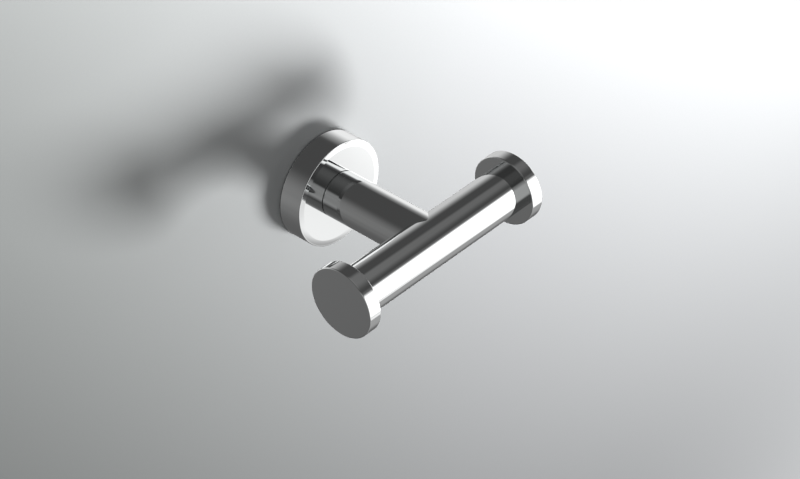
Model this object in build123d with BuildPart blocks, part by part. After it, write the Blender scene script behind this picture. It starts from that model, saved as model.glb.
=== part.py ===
"""A wall-mounted double robe hook, in millimetres.

A round hollow rosette covers a bracket that is screwed to the wall. A short post stands out
of the rosette and carries a crossbar, which ends in a larger disc on each side.

The wall is the plane y = 0 and the hook stands out of it along -Y. X runs along the crossbar
and Z is up. The origin is where the post's axis meets the wall.
"""

import os

from build123d import *

os.makedirs("parts", exist_ok=True)

# Rosette cover
rosette_diameter = 46.0
rosette_depth = 10.8
rosette_side = 2.5
rosette_face = 3.0
rosette_edge = 0.4
shadow_gap_height = 0.5
shadow_gap_depth = 0.6

# Post and crossbar
post_diameter = 19.8
post_foot_edge = 0.3
bar_reach = 58.0
bar_diameter = 20.0
bar_length = 88.0

# End caps
cap_diameter = 30.0
cap_thickness = 6.0
cap_edge = 0.4
cap_skin = 1.5

# Wall bracket, with a raised ring inside the cover and a slot for each wall screw
bracket_plate = 2.5
bracket_clearance = 0.3
bracket_ledge = 2.1
bracket_ring = 2.6
bracket_lead_in = 0.6
bracket_corner = 0.5
slot_width = 4.5
slot_length = 7.5
slot_spacing = 22.0

# Set screw that locks the cover on the bracket from below
set_screw_diameter = 4.0
set_screw_length = 5.0
set_screw_point = 0.5
set_screw_socket = 2.0
set_screw_socket_depth = 2.0
set_screw_flat = 0.3

# Tie screw that pulls the cover, the post and the crossbar together
tie_diameter = 6.0
tie_hole_diameter = 6.6
tie_point = 0.8
tie_head_diameter = 10.5
tie_head_height = 3.3
tie_head_rim = 0.7
tie_head_top_diameter = 6.4
tie_socket = 4.0
tie_socket_depth = 2.1
tie_head_room = 0.5
bar_skin = 5.0

# Spring washer under the tie screw's head
washer_diameter = 11.8
washer_hole_diameter = 6.2
washer_thickness = 1.6
washer_slit = 0.9
washer_slit_angle = 25.0

# Dowel pin that keeps the post from turning on the cover
pin_diameter = 3.0
pin_depth = 3.0
pin_inset = 2.3
pin_end = 0.3

# Studs that hold the end caps on the crossbar
stud_diameter = 6.0
stud_in_bar = 10.0
stud_point = 0.6
stud_socket = 3.0
stud_socket_depth = 3.0

# Clearances
thread_clearance = 0.05
pin_clearance = 0.02
hole_end_room = 0.5
tie_end_room = 1.8

# Places that follow from the sizes, as distances from the wall or from the post's axis
rosette_radius = rosette_diameter / 2
cavity_radius = rosette_radius - rosette_side
cavity_depth = rosette_depth - rosette_face
plate_radius = cavity_radius - bracket_clearance
ring_radius = plate_radius - bracket_ledge
ring_inner_radius = ring_radius - bracket_ring
ring_depth = cavity_depth - bracket_clearance
set_screw_depth = (bracket_plate + ring_depth) / 2
set_screw_seat = ring_radius - set_screw_flat
head_hole_radius = tie_head_diameter / 2 + tie_head_room
head_seat = cavity_depth - washer_thickness
bar_radius = bar_diameter / 2
bar_back = bar_reach - bar_radius
tie_hole_depth = bar_diameter - bar_skin
tie_end = bar_back + tie_hole_depth - tie_end_room
pin_height = post_diameter / 2 - pin_inset
cap_hole_depth = cap_thickness - cap_skin
stud_in_cap = cap_hole_depth - hole_end_room
bar_section = Plane(origin=(0, -bar_reach, 0), x_dir=(0, 1, 0), z_dir=(1, 0, 0))

# Rosette cover, a turned cup with its open side on the wall and a narrow step all round there,
# which shows as a dark line between the cover and the wall
with BuildPart() as rosette_cover:
    with BuildSketch(Plane.XY):
        with BuildLine():
            Polyline(
                (tie_hole_diameter / 2, -cavity_depth),
                (tie_hole_diameter / 2, -rosette_depth),
                (rosette_radius, -rosette_depth),
                (rosette_radius, -shadow_gap_height),
                (rosette_radius - shadow_gap_depth, -shadow_gap_height),
                (rosette_radius - shadow_gap_depth, 0),
                (cavity_radius, 0),
                (cavity_radius, -cavity_depth),
                close=True,
            )
        make_face()
    revolve(axis=Axis.Y)
    front_rim = rosette_cover.faces().sort_by(Axis.Y)[0].edges().sort_by(SortBy.RADIUS)[-1]
    chamfer(front_rim, rosette_edge)
    with BuildSketch(Plane.XY.offset(-set_screw_seat)):
        with Locations((0, -set_screw_depth)):
            Circle(set_screw_diameter / 2 + thread_clearance)
    extrude(amount=-rosette_radius, mode=Mode.SUBTRACT)
    with BuildSketch(Plane.XZ.offset(cavity_depth)):
        with Locations((0, pin_height)):
            Circle(pin_diameter / 2 + pin_clearance)
    extrude(amount=rosette_face, mode=Mode.SUBTRACT)
rosette_cover.part.label = "rosette_cover"
export_step(rosette_cover.part, "parts/rosette_cover.step")

# Wall bracket, a cast plate with the ring that carries the cover and a flat for the set screw
with BuildPart() as wall_bracket:
    with BuildSketch(Plane.XY):
        with BuildLine():
            Polyline(
                (head_hole_radius, 0),
                (head_hole_radius, -bracket_plate),
                (ring_inner_radius - bracket_corner, -bracket_plate),
                (ring_inner_radius, -bracket_plate - bracket_corner),
                (ring_inner_radius, -ring_depth),
                (ring_radius - bracket_lead_in, -ring_depth),
                (ring_radius, bracket_lead_in - ring_depth),
                (ring_radius, -bracket_plate - bracket_corner),
                (ring_radius + bracket_corner, -bracket_plate),
                (plate_radius, -bracket_plate),
                (plate_radius, 0),
                close=True,
            )
        make_face()
    revolve(axis=Axis.Y)
    with BuildSketch(Plane.XZ.offset(bracket_plate)):
        with Locations((0, -set_screw_seat - bracket_ring / 2)):
            Rectangle(2 * ring_radius, bracket_ring)
    extrude(amount=ring_depth - bracket_plate, mode=Mode.SUBTRACT)
    with BuildSketch(Plane.XZ):
        with GridLocations(slot_spacing, 0, 2, 1):
            SlotOverall(slot_length, slot_width)
    extrude(amount=bracket_plate, mode=Mode.SUBTRACT)
wall_bracket.part.label = "wall_bracket"
export_step(wall_bracket.part, "parts/wall_bracket.step")

# Set screw, from the bracket's flat down into the cover's wall, with its socket at the outside
with BuildPart() as set_screw:
    with BuildSketch(Plane.XY.offset(-set_screw_seat)):
        with Locations((0, -set_screw_depth)):
            Circle(set_screw_diameter / 2)
    extrude(amount=-set_screw_length)
    chamfer(set_screw.edges().group_by(Axis.Z)[-1], set_screw_point)
    with BuildSketch(Plane.XY.offset(-set_screw_seat - set_screw_length)):
        with Locations((0, -set_screw_depth)):
            RegularPolygon(set_screw_socket / 2, 6, major_radius=False)
    extrude(amount=set_screw_socket_depth, mode=Mode.SUBTRACT)
set_screw.part.label = "set_screw"
export_step(set_screw.part, "parts/set_screw.step")

# Post, with its foot broken where it meets the cover and its far end coped to sit round the crossbar
with BuildPart() as post:
    with BuildSketch(Plane.XZ.offset(rosette_depth)):
        Circle(post_diameter / 2)
    extrude(amount=bar_reach - rosette_depth)
    chamfer(post.edges().sort_by(Axis.Y)[-1], post_foot_edge)
    with BuildSketch(bar_section):
        Circle(bar_radius)
    extrude(amount=post_diameter, both=True, mode=Mode.SUBTRACT)
    with BuildSketch(Plane.XZ.offset(rosette_depth)):
        Circle(tie_hole_diameter / 2)
    extrude(amount=bar_reach - rosette_depth, mode=Mode.SUBTRACT)
    with BuildSketch(Plane.XZ.offset(rosette_depth)):
        with Locations((0, pin_height)):
            Circle(pin_diameter / 2 + pin_clearance)
    extrude(amount=pin_depth + hole_end_room, mode=Mode.SUBTRACT)
post.part.label = "post"
export_step(post.part, "parts/post.step")

# Dowel pin, flush with the inside of the cover
with BuildPart() as dowel_pin:
    with BuildSketch(Plane.XZ.offset(cavity_depth)):
        with Locations((0, pin_height)):
            Circle(pin_diameter / 2)
    extrude(amount=rosette_face + pin_depth)
    chamfer(dowel_pin.edges().filter_by(GeomType.CIRCLE), pin_end)
dowel_pin.part.label = "dowel_pin"
export_step(dowel_pin.part, "parts/dowel_pin.step")

# Crossbar, tapped in its back for the tie screw and in each end for a cap
with BuildPart() as crossbar:
    with BuildSketch(bar_section):
        Circle(bar_radius)
    extrude(amount=bar_length / 2, both=True)
    with BuildSketch(Plane.XZ.offset(bar_back)):
        Circle(tie_diameter / 2 + thread_clearance)
    extrude(amount=tie_hole_depth, mode=Mode.SUBTRACT)
    with Locations(crossbar.faces().filter_by(GeomType.PLANE).group_by(Axis.X)[0]):
        Hole(stud_diameter / 2 + thread_clearance, depth=stud_in_bar + hole_end_room)
    with Locations(crossbar.faces().filter_by(GeomType.PLANE).group_by(Axis.X)[-1]):
        Hole(stud_diameter / 2 + thread_clearance, depth=stud_in_bar + hole_end_room)
crossbar.part.label = "crossbar"
export_step(crossbar.part, "parts/crossbar.step")

# Tie screw, with a domed head inside the cover
with BuildPart() as tie_screw:
    with BuildSketch(Plane.XY):
        with BuildLine():
            rim = Line(
                (tie_head_diameter / 2, -head_seat),
                (tie_head_diameter / 2, tie_head_rim - head_seat),
            )
            dome = TangentArc(
                rim @ 1,
                (tie_head_top_diameter / 2, tie_head_height - head_seat),
                tangent=rim % 1,
            )
            Polyline(
                dome @ 1,
                (0, tie_head_height - head_seat),
                (0, -tie_end),
                (tie_diameter / 2 - tie_point, -tie_end),
                (tie_diameter / 2, tie_point - tie_end),
                (tie_diameter / 2, -head_seat),
                rim @ 0,
            )
        make_face()
    revolve(axis=Axis.Y)
    with BuildSketch(Plane.XZ.offset(head_seat - tie_head_height)):
        RegularPolygon(tie_socket / 2, 6, major_radius=False)
    extrude(amount=tie_socket_depth, mode=Mode.SUBTRACT)
tie_screw.part.label = "tie_screw"
export_step(tie_screw.part, "parts/tie_screw.step")

# Spring washer, drawn flat as it is when the screw is tight
with BuildPart() as spring_washer:
    with BuildSketch(Plane.XZ.offset(head_seat)):
        Circle(washer_diameter / 2)
        Circle(washer_hole_diameter / 2, mode=Mode.SUBTRACT)
        with Locations(((washer_diameter + washer_hole_diameter) / 4, 0)):
            Rectangle(washer_diameter / 2, washer_slit, rotation=washer_slit_angle, mode=Mode.SUBTRACT)
    extrude(amount=washer_thickness)
spring_washer.part.label = "spring_washer"
export_step(spring_washer.part, "parts/spring_washer.step")

# End caps and their studs, the same on both ends
for side, outward in (("left", -1), ("right", 1)):
    bar_end = Plane(
        origin=(outward * bar_length / 2, -bar_reach, 0), x_dir=(0, 1, 0), z_dir=(outward, 0, 0)
    )

    with BuildPart() as end_cap:
        with BuildSketch(bar_end):
            Circle(cap_diameter / 2)
        extrude(amount=cap_thickness)
        chamfer(end_cap.edges().filter_by(GeomType.CIRCLE), cap_edge)
        with BuildSketch(bar_end):
            Circle(stud_diameter / 2 + thread_clearance)
        extrude(amount=cap_hole_depth, mode=Mode.SUBTRACT)
    end_cap.part.label = f"{side}_cap"
    export_step(end_cap.part, f"parts/{side}_cap.step")

    with BuildPart() as cap_stud:
        with BuildSketch(bar_end.offset(-stud_in_bar)):
            Circle(stud_diameter / 2)
        extrude(amount=stud_in_bar + stud_in_cap)
        chamfer(cap_stud.edges().filter_by(GeomType.CIRCLE), stud_point)
        with BuildSketch(bar_end.offset(stud_in_cap)):
            RegularPolygon(stud_socket / 2, 6, major_radius=False)
        extrude(amount=-stud_socket_depth, mode=Mode.SUBTRACT)
    cap_stud.part.label = f"{side}_cap_stud"
    export_step(cap_stud.part, f"parts/{side}_cap_stud.step")
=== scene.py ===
"""Double robe hook: the pieces that show, their finishes, the wall and the light of the studio.

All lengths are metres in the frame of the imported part: the wall is the plane y = 0, the hook
stands out of it along -Y, X runs along the crossbar and Z is up.
"""
import math
from collections import namedtuple

import bmesh
import bpy
from bpy.props import FloatProperty, FloatVectorProperty, IntProperty, PointerProperty
from mathutils import Matrix, Vector


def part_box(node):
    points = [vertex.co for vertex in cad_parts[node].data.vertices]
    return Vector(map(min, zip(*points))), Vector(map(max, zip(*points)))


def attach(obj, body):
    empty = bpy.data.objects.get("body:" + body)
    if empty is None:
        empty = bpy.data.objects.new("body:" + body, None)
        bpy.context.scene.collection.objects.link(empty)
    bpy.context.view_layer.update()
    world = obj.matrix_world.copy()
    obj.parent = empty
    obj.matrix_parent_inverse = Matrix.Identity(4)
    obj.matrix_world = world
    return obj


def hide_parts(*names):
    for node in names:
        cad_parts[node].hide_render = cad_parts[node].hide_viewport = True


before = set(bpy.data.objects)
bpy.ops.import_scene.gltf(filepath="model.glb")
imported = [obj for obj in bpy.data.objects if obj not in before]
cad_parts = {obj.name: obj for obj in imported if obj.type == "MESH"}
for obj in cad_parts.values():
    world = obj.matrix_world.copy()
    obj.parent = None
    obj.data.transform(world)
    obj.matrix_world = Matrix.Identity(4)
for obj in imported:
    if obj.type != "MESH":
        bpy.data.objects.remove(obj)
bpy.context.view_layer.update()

bl_info = {
    "name": "Double robe hook",
    "version": (1, 0, 0),
    "blender": (4, 5, 0),
    "location": "3D View > Sidebar > Robe hook",
    "description": "Builds a chrome plated double robe hook on a painted wall",
    "category": "Object",
}

MM = 0.001

# Axes and directions of the frame
X, Y, Z = 0, 1, 2
ACROSS = Vector((1, 0, 0))
OUT = Vector((0, -1, 0))
UP = Vector((0, 0, 1))

# Distance of a guard ring from an edge: it keeps the flat beside the edge flat in the shading
GUARD = 0.12 * MM
POST_GUARD = 0.15 * MM
# Nearer to the axis than this, a ring is a single point
ON_AXIS = 1e-7
# How far a drill starts before what it cuts, and ends beyond it
OVERCUT = 1.0 * MM
# Angles above which a corner stays sharp in the shading: the post's saddle meets its side more bluntly
SHARP_CORNER = math.radians(30)
SADDLE_CORNER = math.radians(20)


def extent(node, axis):
    """Length of a CAD node along one axis of the frame."""
    low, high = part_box(node)
    return high[axis] - low[axis]


def middle(node, axis):
    """Middle of a CAD node along one axis of the frame."""
    low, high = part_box(node)
    return (low[axis] + high[axis]) / 2


def srgb(code):
    """A hex colour as linear red, green, blue and alpha."""
    channels = [int(code[i:i + 2], 16) / 255 for i in (1, 3, 5)]
    return [c / 12.92 if c <= 0.04045 else ((c + 0.055) / 1.055) ** 2.4 for c in channels] + [1.0]


WHITE = srgb("#FFFFFF")


# Sizes, finishes and settings
def length(label, about, default):
    return FloatProperty(name=label, description=about, default=default, unit="LENGTH", precision=5)


def angle(label, about, degrees):
    return FloatProperty(name=label, description=about, default=math.radians(degrees), subtype="ANGLE")


def amount(label, about, default):
    return FloatProperty(name=label, description=about, default=default)


def direction(label, about, default):
    return FloatVectorProperty(
        name=label, description=about, default=default, size=3, subtype="DIRECTION")


def colour(label, about, code):
    return FloatVectorProperty(
        name=label, description=about, default=srgb(code), size=4, subtype="COLOR", min=0.0, max=1.0)


class HookSizes(bpy.types.PropertyGroup):
    """Sizes of the hook's pieces"""
    rosette_diameter: length("Rosette diameter", "Across the round cover on the wall",
                             extent("rosette_cover", X))
    rosette_depth: length("Rosette depth", "From the wall to the cover's face", extent("rosette_cover", Y))
    rosette_side: length("Rosette side", "Thickness of the cover's side", 2.5 * MM)
    rosette_face: length("Rosette face", "Thickness of the cover's face", 3.0 * MM)
    rosette_edge: length("Rosette edge", "Rounding of the cover's outer edge", 0.3 * MM)
    rosette_corner: length("Rosette corner", "Rounding inside, between side and face", 0.3 * MM)
    buffed_width: length("Buffed band width", "How far in from its rim the buffing wheel eased the face",
                         2.8 * MM)
    buffed_slope: angle("Buffed band slope", "Slope of that band at the rim", 2.9)
    gap_height: length("Shadow gap height", "Height of the step round the cover at the wall", 0.5 * MM)
    gap_depth: length("Shadow gap depth", "How far that step goes in", 0.6 * MM)
    gap_edge: length("Shadow gap edge", "Rounding of that step's edge", 0.08 * MM)
    foot_height: length("Post foot groove height", "Height of the fine groove between post and cover",
                        0.3 * MM)
    foot_depth: length("Post foot groove depth", "How far that groove goes in", 0.35 * MM)
    foot_edge: length("Post foot groove edge", "Rounding of that groove's edge", 0.06 * MM)
    post_diameter: length("Post diameter", "Across the post", extent("post", X))
    bar_diameter: length("Crossbar diameter", "Across the crossbar", extent("crossbar", Y))
    bar_length: length("Crossbar length", "Between the two end caps", extent("crossbar", X))
    cap_diameter: length("End cap diameter", "Across an end cap", extent("left_cap", Y))
    cap_thickness: length("End cap thickness", "Thickness of an end cap", extent("left_cap", X))
    cap_edge: length("End cap edge", "Rounding of an end cap's edges", 0.4 * MM)
    tie_hole: length("Tie screw hole", "Across the clearance hole for the tie screw", 6.6 * MM)
    tap_hole: length("Tapped hole", "Across the hole for a stud or for the tie screw's end", 6.1 * MM)
    tap_collar: length("Tapped hole collar", "Plain width kept beside the crossbar's tie hole", 1.15 * MM)
    tie_hole_depth: length("Tie hole depth", "Depth of the hole in the back of the crossbar", 15.0 * MM)
    stud_hole_in_bar: length("Stud hole in crossbar", "Depth of the hole in each end of the crossbar",
                             10.5 * MM)
    stud_hole_in_cap: length("Stud hole in cap", "Depth of the hole in the back of a cap", 4.5 * MM)
    lock_hole: length("Locking screw hole", "Across the hole for the locking screw", 4.1 * MM)
    pin_hole: length("Pin hole", "Across the hole for the dowel pin", 3.04 * MM)
    pin_room: length("Pin room", "Room in the post beyond the dowel pin's end", 0.1 * MM)
    segments: IntProperty(name="Segments", description="Sides of a turned piece", default=256, min=32)


class HookFinishes(bpy.types.PropertyGroup):
    """Colours of the hook's metals and the real sizes of the patterns on them"""
    chrome: colour("Chrome", "Reflection of the chrome plating, seen straight on", "#C3C4C4")
    chrome_glance: colour("Chrome glance", "Tint of that reflection at a slant", "#E7E7E7")
    chrome_haze: length("Chrome haze", "Across a patch of haze on the plating", 16.7 * MM)
    chrome_wave: length("Chrome wave", "Across a wave that the buffing left", 11.1 * MM)
    chrome_wave_height: length("Chrome wave height", "Height of such a wave", 0.003 * MM)
    zinc: colour("Zinc", "Reflection of the die cast zinc", "#B9BBBC")
    zinc_cloud: length("Zinc cloud", "Across a paler or darker patch of the casting", 8.3 * MM)
    zinc_grain: length("Zinc grain", "Across a grain of the casting's skin", 0.4 * MM)
    zinc_grain_depth: length("Zinc grain depth", "Depth of that grain", 0.03 * MM)
    steel: colour("Stainless steel", "Reflection of the turned stainless steel", "#C0BBB3")
    steel_mark: length("Tool mark", "Between two tool marks on the steel", 0.2 * MM)
    steel_mark_depth: length("Tool mark depth", "Depth of a tool mark", 0.01 * MM)


class WallSettings(bpy.types.PropertyGroup):
    """Colour, brightness and extent of the painted wall. Its level, gains and easing began as a fit to the
    photograph's wall, and were then changed"""
    left_tint: colour("Tint on the left", "Colour of the paint to the left of the hook", "#F9FDFC")
    left_at: length("Left tint from", "Place across at which that tint is full", -0.15)
    right_tint: colour("Tint on the right", "Colour of the paint to the right of the hook", "#FBFDFF")
    right_at: length("Right tint from", "Place across at which that tint is full", 0.10)
    # painted light: the level, gains, easing, darkest and brightest paint the wall brighter towards the
    # upper right
    level: amount("Level", "Brightness that the wall shows behind the hook", 0.6275)
    gain_across: amount("Gain to the right", "Logarithm that the brightness gains per metre", 3.73)
    gain_upward: amount("Gain upward", "Logarithm that the brightness gains per metre", 3.6)
    easing: amount("Easing", "How that gain eases off sideways, per square metre", 3.28)
    darkest: amount("Darkest", "Least brightness near the hook", 0.24)
    brightest: amount("Brightest", "Most brightness near the hook", 1.01)
    far_level: amount("Far level", "Even brightness far from the hook", 0.72)
    far_from: length("Far from", "Distance from the hook at which the far level sets in", 0.35)
    far_to: length("Far to", "Distance at which it is reached", 0.9)
    light: amount("Light", "Light on the open wall, by which its brightness is divided", 1.036)
    stipple: length("Stipple", "Across a mark of the paint roller", 1.11 * MM)
    stipple_share: amount("Stipple share", "How much such a mark brightens or darkens the paint", 0.015)
    clearance: length("Clearance", "Gap between the wall and the hook", 0.05 * MM)
    under_rosette: length("Under the rosette", "How far the wall runs on behind the rosette", 1.5 * MM)
    reach: length("Reach", "From the hook to the wall's edge", 3.0)


class StudioSettings(bpy.types.PropertyGroup):
    """The camera, the lamps, the floor and what lies beyond it. The camera is a fit to the photograph's
    outlines. The key and the soft light began as a fit to its shadow, and were then changed"""
    camera_azimuth: angle("Camera azimuth", "Turn of the camera round the hook", -47.78)
    camera_height: angle("Camera elevation", "Angle of the camera above the hook", 37.673)
    camera_roll: angle("Camera roll", "Tilt of the camera about its own axis", -0.372)
    camera_distance: length("Camera distance", "From the post's foot to the camera, along its axis",
                            969.3 * MM)
    camera_right: length("Camera shift to the right", "From the line through the post's foot", 31.77 * MM)
    camera_down: length("Camera shift down", "From the line through the post's foot", 22.50 * MM)
    lens: amount("Lens", "Focal length in millimetres", 109.97)
    lamp_distance: length("Lamp distance", "From the hook to the far lamps", 10.0)
    key: amount("Key light", "Strength of the key light", 4.25)
    key_from: direction("Key light from", "Direction that it comes from", (0.578, -0.602, -0.5506))
    key_width: angle("Key light width", "Angle it takes up, seen from the hook", 24.9)
    key_height: angle("Key light height", "Angle it takes up, seen from the hook", 14.7)
    key_turn: angle("Key light turn", "Turn of the key light about its own axis", 10.0)
    soft_key: amount("Soft light", "Strength of the light round the key light", 0.60)
    soft_from: direction("Soft light from", "Direction that it comes from", (1.057, -1.0, -1.037))
    soft_width: angle("Soft light width", "Angle it takes up, seen from the hook", 68.0)
    rear: amount("Rear light", "Strength of the light on the hook's back", 1.6)
    rear_from: direction("Rear light from", "Direction that it comes from", (0.35, 0.8, 0.45))
    rear_width: angle("Rear light width", "Angle it takes up, seen from the hook", 40.0)
    fill: amount("Fill", "Light from all round on matt surfaces", 0.19)
    room: amount("Room", "What the chrome mirrors between the soft panels", 0.10)
    floor_drop: length("Floor drop", "From the hook down to the floor", 0.6)
    floor_hole: length("Floor hole", "Radius of the hole in the middle of the floor's mesh", 1.0 * MM)
    floor_reach: length("Floor reach", "From below the hook to the floor's edge", 7.0)
    floor_cloud: length("Floor cloud", "Across a cloud in the floor's paint", 0.667)
    floor_cloud_share: amount("Floor cloud share", "How much a cloud brightens or darkens it", 0.015)
    backdrop: colour("Backdrop", "Colour of the floor and of what lies beyond it", "#E4E5E6")


# Node and mesh helpers
def add_node(tree, kind, inputs=(), **settings):
    """Adds a shader node with its settings. Its inputs, by name or in order, are values, sockets or
    nodes, of which the first output is meant."""
    node = tree.nodes.new("ShaderNode" + kind)
    for name, value in settings.items():
        setattr(node, name, value)
    pairs = inputs.items() if isinstance(inputs, dict) else enumerate(inputs)
    for key, value in pairs:
        if isinstance(value, bpy.types.Node):
            value = value.outputs[0]
        if isinstance(value, bpy.types.NodeSocket):
            tree.links.new(value, node.inputs[key])
        else:
            node.inputs[key].default_value = value
    return node


def new_material(name):
    """A material with no nodes yet."""
    material = bpy.data.materials.new(name)
    material.use_nodes = True
    material.node_tree.nodes.clear()
    return material


def material_once(name, maker):
    return bpy.data.materials.get(name) or maker(name)


def link_object(name, data):
    thing = bpy.data.objects.new(name, data)
    bpy.context.scene.collection.objects.link(thing)
    return thing


def place_of(across, upward, outward, at):
    """A place from the directions of its own X, Y and Z and its origin."""
    place = Matrix((across, upward, outward)).transposed().to_4x4()
    place.translation = at
    return place


def mesh_from(bm, name):
    """Turns the bmesh into a mesh and frees it."""
    data = bpy.data.meshes.new(name)
    bm.to_mesh(data)
    bm.free()
    return data


def around(segments):
    """The angles of one turn."""
    return [2 * math.pi * i / segments for i in range(segments)]


def arc_points(previous, corner, following, radius, steps=8):
    """Points of the rounding of one corner of a profile."""
    before = (Vector(previous) - Vector(corner)).normalized()
    after = (Vector(following) - Vector(corner)).normalized()
    half = before.angle(after) / 2
    reach = radius / math.tan(half)
    centre = Vector(corner) + (before + after).normalized() * (radius / math.sin(half))
    start = Vector(corner) + before * reach - centre
    end = Vector(corner) + after * reach - centre
    turn = start.angle(end)
    points = []
    for i in range(steps + 1):
        share = i / steps
        spoke = start * math.sin(turn * (1 - share)) + end * math.sin(turn * share)
        points.append(centre + spoke / math.sin(turn))
    return points


def profile_points(corners, closed):
    """Rounds the corners (along, out, radius) of a profile and adds a guard point beside each straight
    run's ends, which keeps the flats flat in the shading."""
    runs = []
    count = len(corners)
    for i, (along, out, radius) in enumerate(corners):
        inside = closed or 0 < i < count - 1
        if radius and inside:
            runs.append(arc_points(corners[i - 1][:2], (along, out), corners[(i + 1) % count][:2], radius))
        else:
            runs.append([Vector((along, out))])
    points = []
    for i, run in enumerate(runs):
        points.extend(run)
        if not closed and i == count - 1:
            break
        following = runs[(i + 1) % count][0]
        gap = following - run[-1]
        if gap.length > 4 * GUARD:
            step = gap.normalized() * GUARD
            points.extend([run[-1] + step, following - step])
    return points


def turned_mesh(name, points, closed, segments, place):
    """Turns a profile of (along, out) points about the Z axis of a place."""
    bm = bmesh.new()
    rings = []
    for along, out in points:
        if out < ON_AXIS:
            rings.append([bm.verts.new(place @ Vector((0, 0, along)))])
        else:
            rings.append([
                bm.verts.new(place @ Vector((out * math.cos(a), out * math.sin(a), along)))
                for a in around(segments)])
    followers = rings[1:] + (rings[:1] if closed else [])
    for lower, upper in zip(rings, followers):
        for i in range(segments):
            j = (i + 1) % segments
            if len(lower) == 1:
                bm.faces.new((lower[0], upper[j], upper[i]))
            elif len(upper) == 1:
                bm.faces.new((lower[i], lower[j], upper[0]))
            else:
                bm.faces.new((lower[i], lower[j], upper[j], upper[i]))
    bmesh.ops.recalc_face_normals(bm, faces=bm.faces)
    return mesh_from(bm, name)


def shade(data, corner=SHARP_CORNER):
    """Smooth shading that keeps the true corners sharp."""
    data.polygons.foreach_set("use_smooth", [True] * len(data.polygons))
    data.set_sharp_from_angle(angle=corner)
    data.update()


def drill(piece, holes, segments=64):
    """Cuts round holes (start, direction, depth, diameter) into a piece and keeps the result as its mesh."""
    cutters = []
    for start, toward, depth, diameter in holes:
        turn = toward.to_track_quat("Z", "Y").to_matrix().to_4x4()
        place = Matrix.Translation(start) @ turn
        points = [(0.0, 0.0), (0.0, diameter / 2), (depth, diameter / 2), (depth, 0.0)]
        cutter = link_object("cutter", turned_mesh("cutter", points, False, segments, place))
        cutters.append(cutter)
        cut = piece.modifiers.new("hole", "BOOLEAN")
        cut.operation = "DIFFERENCE"
        cut.solver = "EXACT"
        cut.object = cutter
    whole = piece.data
    evaluated = piece.evaluated_get(bpy.context.evaluated_depsgraph_get())
    drilled = bpy.data.meshes.new_from_object(evaluated)
    if len(drilled.polygons) <= len(whole.polygons):
        raise RuntimeError("No hole was cut into " + piece.name)
    piece.modifiers.clear()
    piece.data = drilled
    drilled.name = piece.name
    bpy.data.meshes.remove(whole)
    for cutter in cutters:
        data = cutter.data
        bpy.data.objects.remove(cutter)
        bpy.data.meshes.remove(data)


def finish_chrome(piece, node):
    """Plates a piece and puts it in place of its CAD node, on the hook's one body."""
    piece.data.materials.clear()
    piece.data.materials.append(material_once("bright_chrome_plate", chrome_plate))
    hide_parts(node)
    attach(piece, "root")


# Materials

# A noise texture hardly leaves the range between these two values
NOISE_LOW = 0.3
NOISE_HIGH = 0.7


def metal_surface(material, base, dulling, roughness, relief, depth, strength, glance=WHITE):
    """Bare metal, with a roughness that follows one noise and a relief that follows another."""
    tree = material.node_tree
    dullness = add_node(tree, "MapRange", {
        "Value": dulling, "From Min": NOISE_LOW, "From Max": NOISE_HIGH,
        "To Min": roughness[0], "To Max": roughness[1]})
    bump = add_node(tree, "Bump", {"Strength": strength, "Distance": depth, "Height": relief})
    shader = add_node(tree, "BsdfPrincipled", {
        "Base Color": base, "Metallic": 1.0, "Roughness": dullness, "Specular Tint": glance,
        "Normal": bump})
    add_node(tree, "OutputMaterial", {"Surface": shader})


def chrome_plate(name):
    """Brass, turned, polished and bright chrome plated: a hard, slightly cool mirror. The buffing leaves
    waves of a few microns over about a centimetre and a very thin haze that comes and goes. Their sizes
    are assumed."""
    material = new_material(name)
    tree = material.node_tree
    finishes = bpy.context.scene.hook_finishes
    place = add_node(tree, "TexCoord").outputs["Object"]
    haze = add_node(tree, "TexNoise", {
        "Vector": place, "Scale": 1 / finishes.chrome_haze, "Detail": 3.0})
    buffing = add_node(tree, "TexNoise", {
        "Vector": place, "Scale": 1 / finishes.chrome_wave, "Detail": 1.0})
    metal_surface(material, list(finishes.chrome), dulling=haze, roughness=(0.03, 0.06), relief=buffing,
                  depth=finishes.chrome_wave_height, strength=1.0, glance=list(finishes.chrome_glance))
    return material


def die_cast_zinc(name):
    """Zinc alloy, die cast and left matt: grey and satin, with a fine grain from the die's spark eroded
    surface and slow cloudy changes where the metal cooled. The sizes are assumed, and such a grain is
    usually finer, so it is drawn as coarse as it needs to show."""
    material = new_material(name)
    tree = material.node_tree
    finishes = bpy.context.scene.hook_finishes
    place = add_node(tree, "TexCoord").outputs["Object"]
    grain = add_node(tree, "TexNoise", {
        "Vector": place, "Scale": 1 / finishes.zinc_grain, "Detail": 2.0})
    clouds = add_node(tree, "TexNoise", {
        "Vector": place, "Scale": 1 / finishes.zinc_cloud, "Detail": 2.0})
    tone = add_node(tree, "MapRange", {
        "Value": clouds, "From Min": NOISE_LOW, "From Max": NOISE_HIGH, "To Min": 0.88, "To Max": 1.0})
    base = add_node(tree, "VectorMath", [list(finishes.zinc)[:3], tone], operation="MULTIPLY")
    metal_surface(material, base, dulling=grain, roughness=(0.42, 0.55), relief=grain,
                  depth=finishes.zinc_grain_depth, strength=0.6)
    return material


def turned_stainless(name):
    """Stainless steel, turned and left plain: a warmer grey than chrome, with tool marks that soften what
    it mirrors. Their spacing is assumed, and is drawn as coarse as it needs to show."""
    material = new_material(name)
    tree = material.node_tree
    finishes = bpy.context.scene.hook_finishes
    place = add_node(tree, "TexCoord").outputs["Object"]
    marks = add_node(tree, "TexNoise", {
        "Vector": place, "Scale": 1 / finishes.steel_mark, "Detail": 1.0})
    metal_surface(material, list(finishes.steel), dulling=marks, roughness=(0.22, 0.34), relief=marks,
                  depth=finishes.steel_mark_depth, strength=0.3)
    return material


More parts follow.
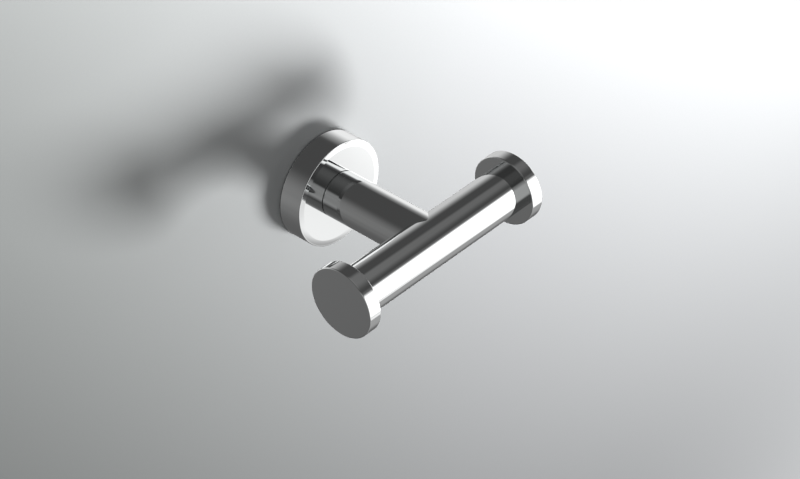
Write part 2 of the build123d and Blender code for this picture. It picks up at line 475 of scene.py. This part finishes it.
def wall_paint_with_painted_light(name):
    """Wall emulsion, rolled on and matt: pale, with a faint stipple from the roller. Its colour is painted
    brightest at the upper right as painted light from the studio, and far from the hook it is evenly pale.
    It is see-through from behind, so the hook's back can be looked at."""
    material = new_material(name)
    tree = material.node_tree
    wall = bpy.context.scene.wall_settings
    geometry = add_node(tree, "NewGeometry")
    place = geometry.outputs["Position"]
    across, _, upward = add_node(tree, "SeparateXYZ", [place]).outputs

    # painted light: the wall's colour is painted brighter towards the upper right
    # the brightness is e to the power of a gain, which grows to the right and upward and eases off sideways
    gain = add_node(tree, "Math", [across, wall.gain_across], operation="MULTIPLY")
    gain = add_node(tree, "Math", [upward, wall.gain_upward, gain], operation="MULTIPLY_ADD")
    square = add_node(tree, "Math", [across, across], operation="MULTIPLY")
    gain = add_node(tree, "Math", [square, -wall.easing, gain], operation="MULTIPLY_ADD")
    level = add_node(tree, "Math", [gain], operation="EXPONENT")

    roller = add_node(tree, "TexNoise", {"Vector": place, "Scale": 1 / wall.stipple, "Detail": 2.0})
    stipple = add_node(tree, "MapRange", {
        "Value": roller, "To Min": wall.level * (1 - wall.stipple_share),
        "To Max": wall.level * (1 + wall.stipple_share)})
    level = add_node(tree, "Math", [level, stipple], operation="MULTIPLY")
    level = add_node(tree, "Math", [level, wall.darkest], operation="MAXIMUM")
    level = add_node(tree, "Math", [level, wall.brightest], operation="MINIMUM")

    distance = add_node(tree, "VectorMath", [place], operation="LENGTH").outputs["Value"]
    far = add_node(tree, "MapRange", {
        "Value": distance, "From Min": wall.far_from, "From Max": wall.far_to},
        interpolation_type="SMOOTHSTEP")
    missing = add_node(tree, "Math", [wall.far_level, level], operation="SUBTRACT")
    level = add_node(tree, "Math", [missing, far, level], operation="MULTIPLY_ADD")
    level = add_node(tree, "Math", [level, wall.light], operation="DIVIDE")

    left, right = Vector(wall.left_tint[:3]), Vector(wall.right_tint[:3])
    to_right = add_node(tree, "MapRange", {
        "Value": across, "From Min": wall.left_at, "From Max": wall.right_at})
    tint = add_node(tree, "VectorMath", [to_right, right - left, left], operation="MULTIPLY_ADD")
    # the paint's tint times the painted brightness
    paint = add_node(tree, "VectorMath", [tint, level], operation="MULTIPLY")
    matt = add_node(tree, "BsdfDiffuse", {"Color": paint})
    clear = add_node(tree, "BsdfTransparent")
    surface = add_node(tree, "MixShader", [geometry.outputs["Backfacing"], matt, clear])
    add_node(tree, "OutputMaterial", {"Surface": surface})
    return material


def painted_floor(name):
    """Studio floor, cast, painted and matt: as pale as the backdrop, with a very slight cloudiness."""
    material = new_material(name)
    tree = material.node_tree
    studio = bpy.context.scene.studio_settings
    place = add_node(tree, "NewGeometry").outputs["Position"]
    clouds = add_node(tree, "TexNoise", {
        "Vector": place, "Scale": 1 / studio.floor_cloud, "Detail": 2.0})
    tone = add_node(tree, "MapRange", {
        "Value": clouds, "To Min": 1 - studio.floor_cloud_share, "To Max": 1 + studio.floor_cloud_share})
    paint = add_node(tree, "VectorMath", [list(studio.backdrop)[:3], tone], operation="MULTIPLY")
    glow = add_node(tree, "Emission", {"Color": paint, "Strength": 1.0})
    add_node(tree, "OutputMaterial", {"Surface": glow})
    return material


# The pieces
def bar_reach():
    """Distance of the crossbar's axis from the wall."""
    return -middle("crossbar", Y)


def along_bar(start):
    """A place on the crossbar's axis, where along is to the right."""
    return place_of(-OUT, UP, ACROSS, (start, -bar_reach(), 0))


# Parts of the buffed band, from the flat of the face to its rim, at which its slope is worked out. The
# slope sets in over the first part of the width, up to most of what it is at the rim
BAND_PARTS = (0.03, 0.06, 0.1, 0.16, 0.3, 0.45, 0.6, 0.75, 0.9, 0.97, 1.0)
BAND_ONSET = 0.1
BAND_START = 0.75


def buffed_band(sizes):
    """Points (along, out) of the face's outer band, which the buffing wheel eased."""
    flat = sizes.rosette_diameter / 2 - sizes.buffed_width
    band = [(sizes.rosette_depth, flat)]
    for part in BAND_PARTS:
        along, out = band[-1]
        further = flat + (sizes.buffed_width - sizes.rosette_edge) * part
        share = (further - flat) / sizes.buffed_width
        slope = sizes.buffed_slope * min(share / BAND_ONSET, BAND_START + (1 - BAND_START) * share)
        band.append((along - math.tan(slope) * (further - out), further))
    return band


class ROBEHOOK_OT_rosette(bpy.types.Operator):
    """Turn the round cover that sits on the wall"""
    bl_idname = "robehook.rosette"
    bl_label = "Rosette"

    def execute(self, context):
        sizes = context.scene.hook_sizes
        radius = sizes.rosette_diameter / 2
        inner = radius - sizes.rosette_side
        floor = sizes.rosette_depth - sizes.rosette_face
        hole = sizes.tie_hole / 2
        step = radius - sizes.gap_depth
        band = buffed_band(sizes)
        rim = [(0.0, step, 0.0), (sizes.gap_height, step, 0.0), (sizes.gap_height, radius, sizes.gap_edge),
               (band[-1][0], radius, sizes.rosette_edge)]
        rim += [(along, out, 0.0) for along, out in reversed(band[:-1])]
        inside = [(sizes.rosette_depth, hole, 0.0), (floor, hole, 0.0),
                  (floor, inner, sizes.rosette_corner), (0.0, inner, 0.0)]
        points = profile_points(rim + inside, closed=True)
        facing_out = place_of(ACROSS, UP, OUT, (0, 0, 0))
        mesh = turned_mesh("rosette_shell", points, True, sizes.segments, facing_out)
        piece = link_object("rosette_shell", mesh)
        lock_start = Vector((0, middle("set_screw", Y), -inner + OVERCUT))
        pin_start = Vector((0, -floor + OVERCUT, middle("dowel_pin", Z)))
        drill(piece, [
            (lock_start, -UP, sizes.rosette_side + 2 * OVERCUT, sizes.lock_hole),
            (pin_start, OUT, sizes.rosette_face + 2 * OVERCUT, sizes.pin_hole),
        ])
        shade(piece.data)
        finish_chrome(piece, "rosette_cover")
        return {"FINISHED"}


# Parts of the post's side, from its foot to the saddle, at which the mesh has a ring, and the number of
# steps across the saddle and round the edge of the foot's groove
POST_SIDE = (0.0, 0.25, 0.5, 0.75, 0.996, 1.0)
SADDLE_STEPS = 10
FOOT_STEPS = 3


def post_section(sizes, reach, turn):
    """Points (out, along) of the post's section at one turn about its axis: from the tie hole outward over
    the foot, up the side and over the saddle back into the hole."""
    radius = sizes.post_diameter / 2
    hole = sizes.tie_hole / 2
    foot = sizes.rosette_depth
    neck = radius - sizes.foot_depth
    lip = foot + sizes.foot_height
    bar = sizes.bar_diameter / 2

    def saddle(out):
        return reach - math.sqrt(bar ** 2 - (out * math.sin(turn)) ** 2)

    section = [(hole, foot), (hole + POST_GUARD, foot), (neck - POST_GUARD, foot), (neck, foot), (neck, lip)]
    section += arc_points((neck, lip), (radius, lip), (radius, reach), sizes.foot_edge, FOOT_STEPS)
    low = lip + sizes.foot_edge + POST_GUARD
    top = saddle(radius)
    section += [(radius, low + (top - low) * part) for part in POST_SIDE]
    for k in range(1, SADDLE_STEPS + 1):
        out = radius + (hole - radius) * k / SADDLE_STEPS
        section.append((out, saddle(out)))
    section.append((hole, (foot + saddle(hole)) / 2))
    return section


class ROBEHOOK_OT_post(bpy.types.Operator):
    """Make the post, with its end coped to sit round the crossbar"""
    bl_idname = "robehook.post"
    bl_label = "Post"

    def execute(self, context):
        sizes = context.scene.hook_sizes
        reach = bar_reach()
        bm = bmesh.new()
        lines = []
        for turn in around(sizes.segments):
            lines.append([
                bm.verts.new((out * math.cos(turn), -along, out * math.sin(turn)))
                for out, along in post_section(sizes, reach, turn)])
        for first, second in zip(lines, lines[1:] + lines[:1]):
            count = len(first)
            for k in range(count):
                n = (k + 1) % count
                bm.faces.new((first[k], second[k], second[n], first[n]))
        bmesh.ops.recalc_face_normals(bm, faces=bm.faces)
        piece = link_object("post_turned", mesh_from(bm, "post_turned"))
        start = Vector((0, -sizes.rosette_depth + OVERCUT, middle("dowel_pin", Z)))
        pin_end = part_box("dowel_pin")[0][Y] - sizes.pin_room
        drill(piece, [(start, OUT, start.y - pin_end, sizes.pin_hole)])
        shade(piece.data, SADDLE_CORNER)
        finish_chrome(piece, "post")
        return {"FINISHED"}


class ROBEHOOK_OT_crossbar(bpy.types.Operator):
    """Turn the crossbar, with a tapped hole in each end and one in its back for the tie screw"""
    bl_idname = "robehook.crossbar"
    bl_label = "Crossbar"

    def execute(self, context):
        sizes = context.scene.hook_sizes
        radius = sizes.bar_diameter / 2
        hole = sizes.tap_hole / 2
        half = sizes.bar_length / 2
        bottom = half - sizes.stud_hole_in_bar
        collar = hole + sizes.tap_collar
        left = [(-bottom, 0.0, 0), (-bottom, hole, 0), (-half, hole, 0), (-half, radius, 0),
                (-collar, radius, 0)]
        right = [(-along, out, 0) for along, out, _ in reversed(left)]
        points = profile_points(left + right, closed=False)
        mesh = turned_mesh("crossbar_turned", points, False, sizes.segments, along_bar(0.0))
        piece = link_object("crossbar_turned", mesh)
        start = Vector((0, radius - bar_reach() + OVERCUT, 0))
        drill(piece, [(start, OUT, sizes.tie_hole_depth + OVERCUT, sizes.tap_hole)])
        shade(piece.data)
        finish_chrome(piece, "crossbar")
        return {"FINISHED"}


class ROBEHOOK_OT_end_caps(bpy.types.Operator):
    """Turn the two flat discs on the crossbar's ends"""
    bl_idname = "robehook.end_caps"
    bl_label = "End caps"

    def execute(self, context):
        sizes = context.scene.hook_sizes
        radius = sizes.cap_diameter / 2
        thick = sizes.cap_thickness
        edge = sizes.cap_edge
        hole = sizes.tap_hole / 2
        depth = sizes.stud_hole_in_cap
        corners = [(depth, 0.0, 0), (depth, hole, 0), (0.0, hole, 0), (0.0, radius, edge),
                   (thick, radius, edge), (thick, 0.0, 0)]
        for node, side in (("left_cap", -1), ("right_cap", 1)):
            points = profile_points([(side * along, out, r) for along, out, r in corners], closed=False)
            place = along_bar(side * sizes.bar_length / 2)
            name = node + "_turned"
            piece = link_object(name, turned_mesh(name, points, False, sizes.segments, place))
            shade(piece.data)
            finish_chrome(piece, node)
        return {"FINISHED"}


FIXINGS = ("set_screw", "tie_screw", "spring_washer", "dowel_pin", "left_cap_stud", "right_cap_stud")


class ROBEHOOK_OT_fixings(bpy.types.Operator):
    """Give the wall bracket and the screws, studs, pin and washer their metals"""
    bl_idname = "robehook.fixings"
    bl_label = "Bracket and fixings"

    def execute(self, context):
        metals = {"wall_bracket": material_once("die_cast_zinc", die_cast_zinc)}
        for node in FIXINGS:
            metals[node] = material_once("turned_stainless", turned_stainless)
        for node, metal in metals.items():
            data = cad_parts[node].data
            data.materials.clear()
            data.materials.append(metal)
        return {"FINISHED"}


# The stage
def flat_ring(name, inner, outer, place, bands=8, segments=128):
    """A flat ring between two radii, in the plane z = 0 of its place."""
    bm = bmesh.new()
    rings = []
    for k in range(bands + 1):
        radius = inner * (outer / inner) ** (k / bands)
        rings.append([
            bm.verts.new(place @ Vector((radius * math.cos(a), radius * math.sin(a), 0.0)))
            for a in around(segments)])
    for low, high in zip(rings, rings[1:]):
        for i in range(segments):
            j = (i + 1) % segments
            bm.faces.new((low[i], high[i], high[j], low[j]))
    return link_object(name, mesh_from(bm, name))


def wall_and_floor(sizes, wall, studio):
    """The painted wall, open behind the rosette, and the studio's floor. The chrome mirrors the studio and
    not the wall, apart from the narrow ring of wall in the shadow gap."""
    on_wall = place_of(ACROSS, UP, OUT, (0, wall.clearance, 0))
    edge = sizes.rosette_diameter / 2 + wall.clearance
    under = sizes.rosette_diameter / 2 - wall.under_rosette
    open_wall = flat_ring("wall", edge, wall.reach, on_wall)
    wall_in_gap = flat_ring("wall_in_gap", under, edge, on_wall)
    # the wall's paint holds painted light: its colour is painted brighter towards the upper right
    paint = wall_paint_with_painted_light("rolled_wall_paint")
    for ring in (open_wall, wall_in_gap):
        ring.data.materials.append(paint)
    open_wall.visible_glossy = False
    below = Matrix.Translation((0, 0, -studio.floor_drop))
    floor = flat_ring("floor", studio.floor_hole, studio.floor_reach, below)
    floor.data.materials.append(painted_floor("painted_floor"))
    floor.visible_glossy = False
    floor.visible_diffuse = False
    floor.visible_shadow = False


def photo_camera(scene, studio):
    """The camera at the photograph's angle."""
    turn, height, roll = studio.camera_azimuth, studio.camera_height, studio.camera_roll
    back = Vector((math.sin(turn) * math.cos(height), -math.cos(turn) * math.cos(height), math.sin(height)))
    level = Vector((math.cos(turn), math.sin(turn), 0.0))
    steep = back.cross(level)
    right = level * math.cos(roll) + steep * math.sin(roll)
    up = steep * math.cos(roll) - level * math.sin(roll)
    camera = bpy.data.cameras.new("camera")
    camera.lens = studio.lens
    camera.sensor_width = 36.0
    camera.clip_start = 0.01
    camera.clip_end = 50.0
    viewer = link_object("camera", camera)
    at = back * studio.camera_distance + right * studio.camera_right - up * studio.camera_down
    viewer.matrix_world = place_of(right, up, back, at)
    scene.camera = viewer


def far_lamp(name, origin, width, height, turn, strength, distance):
    """An oval lamp, so far away that it acts as one direction of light. Its width and height are angles,
    seen from the hook, and its energy grows with the distance, so that the hook gets the same light."""
    lamp = bpy.data.lights.new(name, "AREA")
    lamp.shape = "ELLIPSE"
    lamp.size = 2 * distance * math.tan(width / 2)
    lamp.size_y = 2 * distance * math.tan(height / 2)
    lamp.energy = math.pi * distance ** 2 * strength
    toward = Vector(origin).normalized()
    left = toward.cross(UP).normalized()
    down = toward.cross(left)
    wide = left * math.cos(turn) - down * math.sin(turn)
    high = down * math.cos(turn) + left * math.sin(turn)
    holder = link_object(name, lamp)
    # a lamp shines along its own -Z
    holder.matrix_world = place_of(wide, high, toward, toward * distance)
    holder.visible_glossy = False


def lamps(studio):
    """The key light, the soft light round it and the light on the hook's back."""
    far_lamp("key", studio.key_from, studio.key_width, studio.key_height, studio.key_turn, studio.key,
             studio.lamp_distance)
    far_lamp("soft_key", studio.soft_from, studio.soft_width, studio.soft_width, 0.0, studio.soft_key,
             studio.lamp_distance)
    rear = bpy.data.lights.new("rear_fill", "SUN")
    rear.energy = studio.rear
    rear.angle = studio.rear_width
    holder = link_object("rear_fill", rear)
    toward = Vector(studio.rear_from).normalized()
    holder.rotation_mode = "QUATERNION"
    holder.rotation_quaternion = toward.to_track_quat("Z", "Y")
    holder.location = toward
    holder.visible_glossy = False


# The studio's soft panels are what the chrome mirrors. A panel stands in front of the wall or behind it.
# Its lower and upper edge are angles about the crossbar in degrees: 0 is level, 90 straight up. Each edge
# has a softness, and a tilt by which it rises at the right. Its strengths are those at each of SIDES,
# which are directions across, from -1 straight to the left to 1 straight to the right.
#
# Apart from the lower part, the panels' numbers were fitted by another program to the grey levels that the
# photograph's chrome shows. Some were then changed, and all of them are rounded.
SIDES = (-0.83, -0.62, 0.0, 0.35, 0.6, 0.84)
SoftPanel = namedtuple("SoftPanel", "stands low low_soft high high_soft low_tilt high_tilt strengths")
# The large panel is what the bar and the post mirror from in front. Its lower part has a crisp edge
LOWER_PART = SoftPanel(
    "in front", low=-52.0, low_soft=3.0, high=-30.0, high_soft=12.0, low_tilt=-7.5, high_tilt=0.0,
    strengths=(0.0, 0.0, 0.1, 1.0, 0.96, 1.4))
LARGE_PANEL = SoftPanel(
    "in front", low=-36.0, low_soft=20.0, high=26.0, high_soft=16.0, low_tilt=-14.5, high_tilt=6.5,
    strengths=(0.5, 0.9, 1.15, 1.5, 3.2, 2.75))
# A weaker and much softer panel stands behind the wall
REAR_PANEL = SoftPanel(
    "behind", low=-33.0, low_soft=49.0, high=26.0, high_soft=49.0, low_tilt=-10.0, high_tilt=6.0,
    strengths=(0.19, 0.7, 0.3, 0.35, 0.9, 1.5))
# The ceiling, the table below the large panel and the floor behind are dimmer
CEILING = SoftPanel(
    "in front", low=56.0, low_soft=27.0, high=96.0, high_soft=14.0, low_tilt=10.5, high_tilt=-1.5,
    strengths=(0.06, 0.06, 0.24, 0.29, 0.125, 0.11))
TABLE = SoftPanel(
    "in front", low=-87.0, low_soft=30.0, high=-44.5, high_soft=5.0, low_tilt=0.5, high_tilt=-8.0,
    strengths=(0.15, 0.07, 0.22, 0.65, 0.5, 0.55))
REAR_FLOOR = SoftPanel(
    "behind", low=-99.0, low_soft=17.0, high=-44.5, high_soft=14.0, low_tilt=0.0, high_tilt=0.0,
    strengths=(0.115, 0.08, 0.085, 0.08, 0.14, 0.14))
# Some of the large panel's light spills onto the room above it
SPILL = SoftPanel(
    "in front", low=26.5, low_soft=10.0, high=38.0, high_soft=7.5, low_tilt=0.5, high_tilt=9.0,
    strengths=(0.5, 0.34, 0.05, 0.0, 0.1, 0.0))
PANELS = (LOWER_PART, LARGE_PANEL, REAR_PANEL, CEILING, TABLE, REAR_FLOOR, SPILL)

# How the panels' edges bend towards the right: the directions across between which a bend grows, and how
# far it has gone at the first and at the second of them, as a share of the edge's tilt. The flare is given
# in degrees
BENDS = {
    "tilting": (0.56, 0.64, 0.0, 1.0),
    "arch_up": (0.2, 0.46, 0.0, -1.25),
    "arch_down": (0.46, 0.64, -1.25, 1.0),
    "flare": (0.85, 0.93, 0.0, 40.0),
}
# Straight behind the wall is one more soft panel, between these directions inward, for the hook's back
BACK_PANEL = (0.84, 0.97)


def strength_by_side(tree, across, strengths):
    """Strength of a panel from left to right."""
    highest = max(strengths)
    share = add_node(tree, "Math", [across, 0.5, 0.5], operation="MULTIPLY_ADD")
    ramp = add_node(tree, "ValToRGB", [share])
    elements = ramp.color_ramp.elements
    elements.remove(elements[-1])
    for k, (side, strength) in enumerate(zip(SIDES, strengths)):
        place = side / 2 + 0.5
        element = elements.new(place) if k else elements[0]
        element.position = place
        element.color = (strength / highest,) * 3 + (1.0,)
    return add_node(tree, "Math", [ramp, highest], operation="MULTIPLY")


def inside_panel(tree, panel, tilt, bends):
    """1 in the directions that a panel takes up and 0 round it, with a soft step at its edges. The lower
    part's edge arches up before it drops, and the large panel's upper edge rises at the far right."""
    low_bend = bends["arch"] if panel is LOWER_PART else bends["tilting"]
    above = add_node(tree, "Math", [low_bend, -panel.low_tilt, tilt], operation="MULTIPLY_ADD")
    below = add_node(tree, "Math", [bends["tilting"], -panel.high_tilt, tilt], operation="MULTIPLY_ADD")
    if panel is LARGE_PANEL:
        below = add_node(tree, "Math", [below, bends["flare"]], operation="SUBTRACT")
    steps = []
    for value, edge, soft in ((above, panel.low, panel.low_soft), (below, panel.high, panel.high_soft)):
        steps.append(add_node(tree, "MapRange", {
            "Value": value, "From Min": edge - soft / 2, "From Max": edge + soft / 2},
            interpolation_type="SMOOTHSTEP"))
    between = add_node(tree, "Math", steps, operation="SUBTRACT")
    return add_node(tree, "Math", [between, 0.0], operation="MAXIMUM")


def studio_world(scene, studio):
    """The world, painted by direction. Glossy rays see the soft panels in a dark room, the camera sees the
    backdrop, and matt surfaces get an even fill."""
    world = bpy.data.worlds.new("studio")
    scene.world = world
    world.use_nodes = True
    tree = world.node_tree
    tree.nodes.clear()
    toward = add_node(tree, "TexCoord").outputs["Generated"]
    across, inward, upward = add_node(tree, "SeparateXYZ", [toward]).outputs
    outward = add_node(tree, "Math", [inward, -1.0], operation="MULTIPLY")
    tilts = {}
    for stands, ahead in (("in front", outward), ("behind", inward)):
        tilt = add_node(tree, "Math", [upward, ahead], operation="ARCTAN2")
        tilts[stands] = add_node(tree, "Math", [tilt], operation="DEGREES")
    bends = {}
    for name, (start, end, first, last) in BENDS.items():
        bends[name] = add_node(tree, "MapRange", {
            "Value": across, "From Min": start, "From Max": end, "To Min": first, "To Max": last})
    bends["arch"] = add_node(tree, "Math", [bends["arch_up"], bends["arch_down"]], operation="MAXIMUM")

    total = studio.room
    for panel in PANELS:
        inside = inside_panel(tree, panel, tilts[panel.stands], bends)
        strength = strength_by_side(tree, across, panel.strengths)
        total = add_node(tree, "Math", [inside, strength, total], operation="MULTIPLY_ADD")
    back_panel = add_node(tree, "MapRange", {
        "Value": inward, "From Min": BACK_PANEL[0], "From Max": BACK_PANEL[1]},
        interpolation_type="SMOOTHSTEP")
    total = add_node(tree, "Math", [back_panel, total], operation="ADD")

    path = add_node(tree, "LightPath")
    room = add_node(tree, "Background", {"Color": WHITE, "Strength": total})
    fill = add_node(tree, "Background", {"Color": WHITE, "Strength": studio.fill})
    beyond = add_node(tree, "Background", {"Color": list(studio.backdrop), "Strength": 1.0})
    unseen = add_node(tree, "MixShader", [path.outputs["Is Glossy Ray"], fill, room])
    either = add_node(tree, "MixShader", [path.outputs["Is Camera Ray"], unseen, beyond])
    add_node(tree, "OutputWorld", {"Surface": either})


class ROBEHOOK_OT_stage(bpy.types.Operator):
    """Set up the camera, the wall, the floor and the light"""
    bl_idname = "robehook.stage"
    bl_label = "Stage"

    def execute(self, context):
        scene = context.scene
        scene.view_settings.view_transform = "Standard"
        photo_camera(scene, scene.studio_settings)
        wall_and_floor(scene.hook_sizes, scene.wall_settings, scene.studio_settings)
        lamps(scene.studio_settings)
        studio_world(scene, scene.studio_settings)
        return {"FINISHED"}


class ROBEHOOK_PT_panel(bpy.types.Panel):
    """Lists the steps that make the hook, and its settings"""
    bl_idname = "ROBEHOOK_PT_panel"
    bl_label = "Robe hook"
    bl_space_type = "VIEW_3D"
    bl_region_type = "UI"
    bl_category = "Robe hook"

    def draw(self, context):
        for operator in OPERATORS:
            self.layout.operator(operator.bl_idname)
        for name, group in SETTINGS.items():
            box = self.layout.box()
            for item in group.__annotations__:
                box.prop(getattr(context.scene, name), item)


SETTINGS = {"hook_sizes": HookSizes, "hook_finishes": HookFinishes, "wall_settings": WallSettings,
            "studio_settings": StudioSettings}
OPERATORS = (ROBEHOOK_OT_rosette, ROBEHOOK_OT_post, ROBEHOOK_OT_crossbar, ROBEHOOK_OT_end_caps,
             ROBEHOOK_OT_fixings, ROBEHOOK_OT_stage)
CLASSES = tuple(SETTINGS.values()) + OPERATORS + (ROBEHOOK_PT_panel,)


def register():
    for item in CLASSES:
        bpy.utils.register_class(item)
    for name, group in SETTINGS.items():
        setattr(bpy.types.Scene, name, PointerProperty(type=group))


def unregister():
    for name in SETTINGS:
        delattr(bpy.types.Scene, name)
    for item in reversed(CLASSES):
        bpy.utils.unregister_class(item)


def main():
    register()
    bpy.ops.robehook.rosette()
    bpy.ops.robehook.post()
    bpy.ops.robehook.crossbar()
    bpy.ops.robehook.end_caps()
    bpy.ops.robehook.fixings()
    bpy.ops.robehook.stage()


if __name__ == "__main__":
    main()
